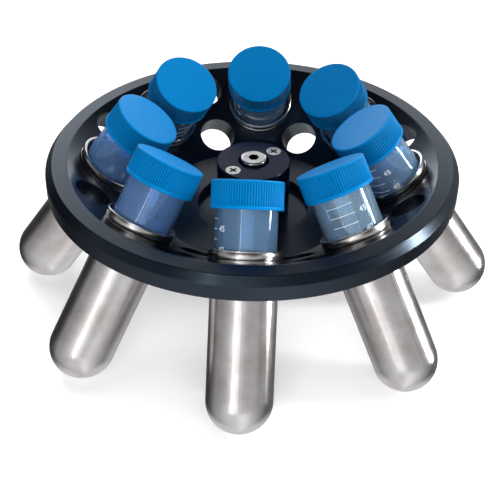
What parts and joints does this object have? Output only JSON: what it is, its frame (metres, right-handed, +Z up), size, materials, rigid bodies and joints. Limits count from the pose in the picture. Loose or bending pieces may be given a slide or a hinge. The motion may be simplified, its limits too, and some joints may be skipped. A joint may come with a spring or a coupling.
{
  "type": "fixed angle centrifuge rotor",
  "caption": "Fixed-angle centrifuge rotor: an anodised dish with tilted steel sleeves, each holding a screw-capped conical tube, and a captive central screw.",
  "frame": {"origin": "on the rotor axis, in the plane of the sleeve ends that the rotor stands on", "axes": "+Z up along the rotor axis; tube place 1 faces -Y; places run counter-clockwise seen from above"},
  "size_m": [0.2542, 0.2542, 0.1083],
  "materials": {
    "black_anodised": "satin black anodised",
    "bright_steel": "polished",
    "spring_steel": "dark oiled",
    "stainless": "brushed round the sleeve",
    "rubber": "matt",
    "clear_plastic": "translucent",
    "blue_plastic": "satin with fine grip ribs"
  },
  "bodies": {
    "rotor": {"rotor_body": "black_anodised", "hub_plate": "black_anodised", "plate_screws": "bright_steel", "sleeve_1": "stainless", "sleeve_2": "stainless", "sleeve_3": "stainless", "sleeve_4": "stainless", "sleeve_5": "stainless", "sleeve_6": "stainless", "sleeve_7": "stainless", "sleeve_8": "stainless", "pad_1": "rubber", "pad_2": "rubber", "pad_3": "rubber", "pad_4": "rubber", "pad_5": "rubber", "pad_6": "rubber", "pad_7": "rubber", "pad_8": "rubber", "tube_1": "clear_plastic", "tube_2": "clear_plastic", "tube_3": "clear_plastic", "tube_4": "clear_plastic", "tube_5": "clear_plastic", "tube_6": "clear_plastic", "tube_7": "clear_plastic", "tube_8": "clear_plastic"},
    "lock_screw": {"lock_screw": "bright_steel", "lock_ring": "spring_steel"},
    "cap_1": {"cap_1": "blue_plastic"},
    "cap_2": {"cap_2": "blue_plastic"},
    "cap_3": {"cap_3": "blue_plastic"},
    "cap_4": {"cap_4": "blue_plastic"},
    "cap_5": {"cap_5": "blue_plastic"},
    "cap_6": {"cap_6": "blue_plastic"},
    "cap_7": {"cap_7": "blue_plastic"},
    "cap_8": {"cap_8": "blue_plastic"}
  },
  "joints": [
    {"name": "lock_screw_turn", "type": "hinge", "parent": "rotor", "child": "lock_screw", "pos_m": [0, 0, 0.0767], "axis": [0, 0, 1], "continuous": true},
    {"name": "cap_1_turn", "type": "hinge", "parent": "rotor", "child": "cap_1", "pos_m": [0, -0.05708, 0.09318], "axis": [0, 0.5736, 0.8192], "range_deg": [0, 450]},
    {"name": "cap_2_turn", "type": "hinge", "parent": "rotor", "child": "cap_2", "pos_m": [0.04036, -0.04036, 0.09318], "axis": [-0.4056, 0.4056, 0.8192], "range_deg": [0, 450]},
    {"name": "cap_3_turn", "type": "hinge", "parent": "rotor", "child": "cap_3", "pos_m": [0.05708, 0, 0.09318], "axis": [-0.5736, 0, 0.8192], "range_deg": [0, 450]},
    {"name": "cap_4_turn", "type": "hinge", "parent": "rotor", "child": "cap_4", "pos_m": [0.04036, 0.04036, 0.09318], "axis": [-0.4056, -0.4056, 0.8192], "range_deg": [0, 450]},
    {"name": "cap_5_turn", "type": "hinge", "parent": "rotor", "child": "cap_5", "pos_m": [0, 0.05708, 0.09318], "axis": [0, -0.5736, 0.8192], "range_deg": [0, 450]},
    {"name": "cap_6_turn", "type": "hinge", "parent": "rotor", "child": "cap_6", "pos_m": [-0.04036, 0.04036, 0.09318], "axis": [0.4056, -0.4056, 0.8192], "range_deg": [0, 450]},
    {"name": "cap_7_turn", "type": "hinge", "parent": "rotor", "child": "cap_7", "pos_m": [-0.05708, 0, 0.09318], "axis": [0.5736, 0, 0.8192], "range_deg": [0, 450]},
    {"name": "cap_8_turn", "type": "hinge", "parent": "rotor", "child": "cap_8", "pos_m": [-0.04036, -0.04036, 0.09318], "axis": [0.4056, 0.4056, 0.8192], "range_deg": [0, 450]}
  ]
}
